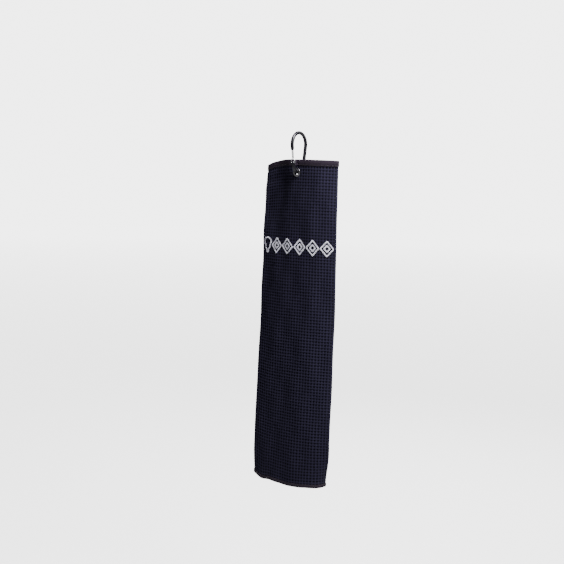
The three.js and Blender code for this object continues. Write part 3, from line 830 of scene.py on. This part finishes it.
def thread_tree():
    """Lays one short arched thread on each point, along the point's run and facing out."""
    tree = bpy.data.node_groups.new("laid threads", "GeometryNodeTree")
    sockets = (
        ("Geometry", "NodeSocketGeometry"),
        ("Thread Length", "NodeSocketFloat"),
        ("Thread Radius", "NodeSocketFloat"),
        ("Thread Arch", "NodeSocketFloat"),
        ("Unevenness", "NodeSocketFloat"),
        ("Seed", "NodeSocketInt"),
        ("Material", "NodeSocketMaterial"),
    )
    for name, kind in sockets:
        tree.interface.new_socket(name, in_out="INPUT", socket_type=kind)
    tree.interface.new_socket("Geometry", in_out="OUTPUT", socket_type="NodeSocketGeometry")
    given, result = tree.nodes.new("NodeGroupInput"), tree.nodes.new("NodeGroupOutput")
    link = tree.links.new

    ends = []
    for side in (-0.5, 0.5):
        reach = node(tree, "ShaderNodeMath", operation="MULTIPLY")
        reach.inputs[1].default_value = side
        link(given.outputs["Thread Length"], reach.inputs[0])
        end = node(tree, "ShaderNodeCombineXYZ")
        link(reach.outputs[0], end.inputs["X"])
        ends.append(end)
    crown = node(tree, "ShaderNodeCombineXYZ")
    link(given.outputs["Thread Arch"], crown.inputs["Z"])
    arch = node(tree, "GeometryNodeCurveQuadraticBezier")
    arch.inputs["Resolution"].default_value = THREAD_BENDS
    link(ends[0].outputs[0], arch.inputs["Start"])
    link(crown.outputs[0], arch.inputs["Middle"])
    link(ends[1].outputs[0], arch.inputs["End"])
    section = node(tree, "GeometryNodeCurvePrimitiveCircle")
    section.inputs["Resolution"].default_value = THREAD_SIDES
    link(given.outputs["Thread Radius"], section.inputs["Radius"])
    strand = node(tree, "GeometryNodeCurveToMesh")
    strand.inputs["Fill Caps"].default_value = True
    link(arch.outputs[0], strand.inputs["Curve"])
    link(section.outputs[0], strand.inputs["Profile Curve"])

    run = node(tree, "GeometryNodeInputNamedAttribute", data_type="FLOAT_VECTOR")
    run.inputs["Name"].default_value = "run"
    out = node(tree, "GeometryNodeInputNamedAttribute", data_type="FLOAT_VECTOR")
    out.inputs["Name"].default_value = "out"
    turn = node(tree, "FunctionNodeAxesToRotation", primary_axis="X", secondary_axis="Z")
    link(run.outputs[0], turn.inputs[0])
    link(out.outputs[0], turn.inputs[1])

    low = node(tree, "ShaderNodeMath", operation="SUBTRACT")
    low.inputs[0].default_value = 1.0
    link(given.outputs["Unevenness"], low.inputs[1])
    high = node(tree, "ShaderNodeMath", operation="ADD")
    high.inputs[0].default_value = 1.0
    link(given.outputs["Unevenness"], high.inputs[1])
    uneven = node(tree, "FunctionNodeRandomValue", data_type="FLOAT")
    link(low.outputs[0], uneven.inputs[2])
    link(high.outputs[0], uneven.inputs[3])
    link(given.outputs["Seed"], uneven.inputs["Seed"])

    lay = node(tree, "GeometryNodeInstanceOnPoints")
    link(given.outputs["Geometry"], lay.inputs["Points"])
    link(strand.outputs[0], lay.inputs["Instance"])
    link(turn.outputs[0], lay.inputs["Rotation"])
    link(uneven.outputs[1], lay.inputs["Scale"])
    real = node(tree, "GeometryNodeRealizeInstances")
    link(lay.outputs[0], real.inputs[0])
    smooth = node(tree, "GeometryNodeSetShadeSmooth")
    link(real.outputs[0], smooth.inputs["Geometry"])
    painted = node(tree, "GeometryNodeSetMaterial")
    link(smooth.outputs[0], painted.inputs["Geometry"])
    link(given.outputs["Material"], painted.inputs["Material"])
    link(painted.outputs[0], result.inputs[0])
    return tree


THREAD_TREE = thread_tree()


def laid_threads(name, points, run, out, material, length, radius, arch, unevenness=0.05, seed=3):
    """A mesh of threads, one at each point."""
    mesh = bpy.data.meshes.new(name)
    mesh.from_pydata(points.tolist(), [], [])
    for key, vectors in (("run", run), ("out", out)):
        layer = mesh.attributes.new(key, "FLOAT_VECTOR", "POINT")
        layer.data.foreach_set("vector", np.asarray(vectors, np.float32).ravel())
    made = bpy.data.objects.new(name, mesh)
    bpy.context.scene.collection.objects.link(made)
    lay = made.modifiers.new("laid threads", "NODES")
    lay.node_group = THREAD_TREE
    values = {
        "Thread Length": length,
        "Thread Radius": radius,
        "Thread Arch": arch,
        "Unevenness": unevenness,
        "Seed": seed,
        "Material": material,
    }
    for item in THREAD_TREE.interface.items_tree:
        if item.in_out == "INPUT" and item.name in values:
            lay[item.identifier] = values[item.name]
    return apply_modifiers(made)


def tape_stitches(name, runs, depth, place):
    """The row of lockstitches that holds a tape, on the cloth's outer side."""
    middles = np.arange(runs[0] + STITCH_PITCH / 2, runs[-1] - STITCH_PITCH / 4, STITCH_PITCH)
    inset = np.full_like(middles, depth - STITCH_INSET)
    across, down = place(middles, inset)
    next_across, next_down = place(middles + 1.0, inset)
    raised = TAPE_OUT - STITCH_SUNK
    places = towel_axes(across, down, raised, next_across - across, next_down - down)
    return laid_threads(name, *places, DARK_THREAD, STITCH_LENGTH, STITCH_RADIUS, STITCH_ARCH)


# ---- Motif: a ball on its tee and a row of double lozenges, in satin stitch ----

MOTIF_DROP = 140 * MM
MOTIF_HEIGHT = 24 * MM
MOTIF_SPACING = 2.9 * MM
MOTIF_STROKE = 2.2 * MM
LOZENGE_COUNT = 5
LOZENGE_WIDTH = 20.4 * MM
LOZENGE_CORE = 0.44
BALL_RADIUS = 7.2 * MM
TEE_CUP_WIDTH = 10.4 * MM
TEE_CUP_DEPTH = 3.6 * MM
TEE_STEM_WIDTH = 3.4 * MM
SATIN_PITCH = 0.46 * MM
SATIN_RADIUS = 0.2 * MM
SATIN_ARCH = 0.7 * MM
SATIN_RAISED = RIDGE_RAISED + 0.05 * MM
PADDING_PITCH = 0.8 * MM
PADDING_TOP = 0.1 * MM  # heights of the padding, from the satin's own
PADDING_SHOULDER = -0.2 * MM
PADDING_FOOT = -0.9 * MM
PADDING_TOP_SHARE = 0.6  # how wide its top is, as a share of the stroke


def lozenge(wide, tall):
    return np.array([(wide / 2, 0), (0, tall / 2), (-wide / 2, 0), (0, -tall / 2)])


def ball_on_tee():
    opening = math.radians(70)
    angles = -math.pi / 2 + opening / 2 + np.linspace(0, 2 * math.pi - opening, 33)
    top = MOTIF_HEIGHT / 2
    ball = np.stack([BALL_RADIUS * np.cos(angles), top - BALL_RADIUS * (1 - np.sin(angles))], axis=-1)
    cup = top - 2 * BALL_RADIUS - 2 * MOTIF_STROKE / 3
    neck = cup - TEE_CUP_DEPTH
    half_cup, half_stem = TEE_CUP_WIDTH / 2, TEE_STEM_WIDTH / 2
    left = [(-half_cup, cup), (-half_stem, neck), (-half_stem, -top)]
    right = [(half_stem, -top), (half_stem, neck), (half_cup, cup)]
    return np.concatenate([ball, left, right])


def motif_outlines():
    """Each outline's name and its closed line, as distances right of the eyelet and up from the row."""
    row = 2 * BALL_RADIUS + LOZENGE_COUNT * (LOZENGE_WIDTH + MOTIF_SPACING)
    start = (FRONT_RIGHT - FRONT_LEFT - row) / 2
    yield "motif_ball_on_tee", ball_on_tee() + (start + BALL_RADIUS, 0)
    for i in range(LOZENGE_COUNT):
        at = start + 2 * BALL_RADIUS + (i + 1) * MOTIF_SPACING + (i + 0.5) * LOZENGE_WIDTH
        yield f"motif_lozenge_{i + 1}", lozenge(LOZENGE_WIDTH, MOTIF_HEIGHT) + (at, 0)
        core = lozenge(LOZENGE_CORE * LOZENGE_WIDTH, LOZENGE_CORE * MOTIF_HEIGHT)
        yield f"motif_lozenge_core_{i + 1}", core + (at, 0)


def even_points(outline, pitch):
    """Evenly spaced points round a closed outline, with the direction of the line at each."""
    following = np.roll(outline, -1, axis=0)
    lengths = np.linalg.norm(following - outline, axis=1)
    ends = np.concatenate([[0], np.cumsum(lengths)])
    count = round(ends[-1] / pitch)
    marks = np.arange(count) * ends[-1] / count
    closed = np.vstack([outline, outline[:1]])
    points = np.stack([np.interp(marks, ends, closed[:, k]) for k in (0, 1)], axis=-1)
    line = np.roll(points, -2, axis=0) - np.roll(points, 2, axis=0)
    return points, line / np.linalg.norm(line, axis=1, keepdims=True)


def satin_stitching():
    """The threads of the whole motif, each laid across its outline."""
    places = []
    for _, outline in motif_outlines():
        points, line = even_points(outline, SATIN_PITCH)
        across = EYELET_ACROSS - points[:, 0]
        down = MOTIF_DROP - points[:, 1]
        # A thread crosses the line at right angles. Across runs to the left on the front panel.
        places.append(towel_axes(across, down, SATIN_RAISED, -line[:, 1], line[:, 0]))
    joined = [np.concatenate(parts) for parts in zip(*places)]
    return laid_threads(
        "motif_satin_stitch",
        *joined,
        material=WHITE_THREAD,
        length=MOTIF_STROKE,
        radius=SATIN_RADIUS,
        arch=SATIN_ARCH,
        unevenness=0.07,
        seed=11,
    )


def motif_padding(name, outline):
    """The low ridge of underlay stitches that lifts the satin thread."""
    points, line = even_points(outline, PADDING_PITCH)
    normal = np.stack([line[:, 1], -line[:, 0]], axis=-1)
    half = MOTIF_STROKE / 2
    half_top = half * PADDING_TOP_SHARE
    section = [
        (-half, PADDING_SHOULDER),
        (-half_top, PADDING_TOP),
        (half_top, PADDING_TOP),
        (half, PADDING_SHOULDER),
        (half, PADDING_FOOT),
        (-half, PADDING_FOOT),
    ]
    rings = []
    for side, lift in section:
        moved = points + normal * side
        across, down = EYELET_ACROSS - moved[:, 0], MOTIF_DROP - moved[:, 1]
        rings.append(towel_points(across, down, SATIN_RAISED + lift))
    places = np.stack(rings, axis=1)
    count, around = places.shape[:2]
    index = np.arange(count * around).reshape(count, around)
    after, beside = np.roll(index, -1, axis=0), np.roll(index, -1, axis=1)
    corner = np.roll(after, -1, axis=1)
    faces = np.stack([index, beside, corner, after], axis=-1).reshape(-1, 4).tolist()
    made = mesh_object(name, places, faces)
    face_outwards(made)
    # Its grey is painted shade between the satin threads.
    made.data.materials.append(UNDERLAY_SHADE_THREAD)
    return made


# ---- Build the pieces ----

for cad_node, finish in (
    ("carabiner_body", ANODISED),
    ("wire_gate", STEEL),
    ("eyelet", NICKEL),
    ("eyelet_washer", NICKEL),
):
    finish_node(cad_node, finish)

cloth = towel_cloth()
on_cloth = []
for tape_name, (runs, depth, place) in EDGES.items():
    binding = tape(tape_name, runs, depth, place)
    stitches = tape_stitches(tape_name.replace("tape", "stitches"), runs, depth, place)
    cad_name = tape_name.replace("tape", "binding")
    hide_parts(cad_name)
    on_cloth += [binding, stitches]

for cad_name, outline in motif_outlines():
    padding = motif_padding(cad_name + "_padding", outline)
    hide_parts(cad_name)
    on_cloth.append(padding)
satin = satin_stitching()
on_cloth.append(satin)

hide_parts("towel_cloth")
for piece in [cloth] + on_cloth:
    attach(piece, "towel")

# ---- Studio ----

VIEW_AZIMUTH = math.radians(35.4)
VIEW_DISTANCE = 1.5
AIM_BELOW_EYELET = 0.1775
AIM_LEFT_OF_EYELET = 0.0215
CAMERA_ROLL = math.radians(1.42)
LENS = 59.4  # mm, on a 36 mm sensor
FLOOR_BELOW_TOWEL = 0.42
FLOOR_RADIUS = 14.0
SURROUND_SEEN = 4.6
# Strength of the floor's painted glow, seen by the camera only:
FLOOR_SEEN = 2.7  # under the towel, rising to the surround's at the floor's edge
SURROUND_LIGHT = 0.04


def studio_floor():
    bpy.ops.mesh.primitive_circle_add(vertices=96, radius=FLOOR_RADIUS, fill_type="NGON")
    floor = bpy.context.object
    floor.name = "studio_floor"
    floor.location = (0, 0, LOWEST_EDGE - FLOOR_BELOW_TOWEL)
    finish = Finish("pale floor with painted glow")
    tree = finish.tree
    away = node(tree, "ShaderNodeVectorMath", operation="LENGTH")
    feed(tree, away.inputs[0], finish.place)
    # Painted glow: the floor glows for camera rays only, dimmer under the towel and brighter towards its
    # edge; the lamps don't make it.
    glow = remap(tree, away.outputs["Value"], 1.0, FLOOR_RADIUS * 0.8, FLOOR_SEEN, SURROUND_SEEN)
    seen = node(tree, "ShaderNodeLightPath").outputs["Is Camera Ray"]
    finish.set(Base_Color=(0.8, 0.8, 0.81, 1), Roughness=0.7, Emission_Color=(1.0, 1.0, 1.0, 1))
    finish.set(Emission_Strength=calculate(tree, "MULTIPLY", glow, seen))
    floor.data.materials.append(finish.material)


def area_light(name, azimuth, elevation, distance, size, power, aim):
    """A soft box that looks at aim. Azimuth 0 is in front of the towel and 90 to its right."""
    turn, lift = math.radians(azimuth), math.radians(elevation)
    away = Vector((math.sin(turn) * math.cos(lift), -math.cos(turn) * math.cos(lift), math.sin(lift)))
    data = bpy.data.lights.new(name, "AREA")
    data.shape, data.size, data.size_y = "RECTANGLE", size[0], size[1]
    data.energy = power
    lamp = bpy.data.objects.new(name, data)
    lamp.location = Vector(aim) + away * distance
    lamp.rotation_euler = away.to_track_quat("Z", "Y").to_euler()
    bpy.context.scene.collection.objects.link(lamp)


def white_surround():
    """White where the camera sees it, and dimmer as a light."""
    world = bpy.data.worlds.new("studio")
    bpy.context.scene.world = world
    world.use_nodes = True
    tree = world.node_tree
    tree.nodes.clear()
    seen = node(tree, "ShaderNodeBackground")
    seen.inputs["Color"].default_value = (1.0, 1.0, 1.0, 1)
    seen.inputs["Strength"].default_value = SURROUND_SEEN
    dim = node(tree, "ShaderNodeBackground")
    dim.inputs["Color"].default_value = (0.95, 0.96, 1.0, 1)
    dim.inputs["Strength"].default_value = SURROUND_LIGHT
    path = node(tree, "ShaderNodeLightPath")
    either = node(tree, "ShaderNodeMixShader")
    tree.links.new(path.outputs["Is Camera Ray"], either.inputs[0])
    tree.links.new(dim.outputs[0], either.inputs[1])
    tree.links.new(seen.outputs[0], either.inputs[2])
    tree.links.new(either.outputs[0], node(tree, "ShaderNodeOutputWorld").inputs["Surface"])


def place_camera():
    data = bpy.data.cameras.new("camera")
    data.lens, data.sensor_width = LENS, 36.0
    camera = bpy.data.objects.new("camera", data)
    bpy.context.scene.collection.objects.link(camera)
    right = Vector((math.cos(VIEW_AZIMUTH), math.sin(VIEW_AZIMUTH), 0))
    back = Vector((math.sin(VIEW_AZIMUTH), -math.cos(VIEW_AZIMUTH), 0))
    eyelet = Vector(EYELET_AT)
    camera.location = eyelet + back * VIEW_DISTANCE
    aim = eyelet - right * AIM_LEFT_OF_EYELET - Vector((0, 0, AIM_BELOW_EYELET))
    facing = (camera.location - aim).to_track_quat("Z", "Y").to_matrix().to_4x4()
    turned = facing @ Matrix.Rotation(CAMERA_ROLL, 4, "Z")
    camera.matrix_world = Matrix.Translation(camera.location) @ turned
    bpy.context.scene.camera = camera


towel_middle = (0, 0, EYELET_AT[2] - CLOTH_LENGTH * 0.4)
studio_floor()
white_surround()
area_light("key", 75, 55, distance=0.95, size=(0.5, 0.6), power=39, aim=EYELET_AT)
area_light("fill", -30, 0, distance=2.2, size=(1.4, 1.4), power=1.9, aim=towel_middle)
area_light("overhead", 20, 78, distance=2.4, size=(1.6, 1.6), power=7, aim=EYELET_AT)
area_light("behind", 195, 30, distance=1.8, size=(1.2, 1.2), power=40, aim=towel_middle)
place_camera()
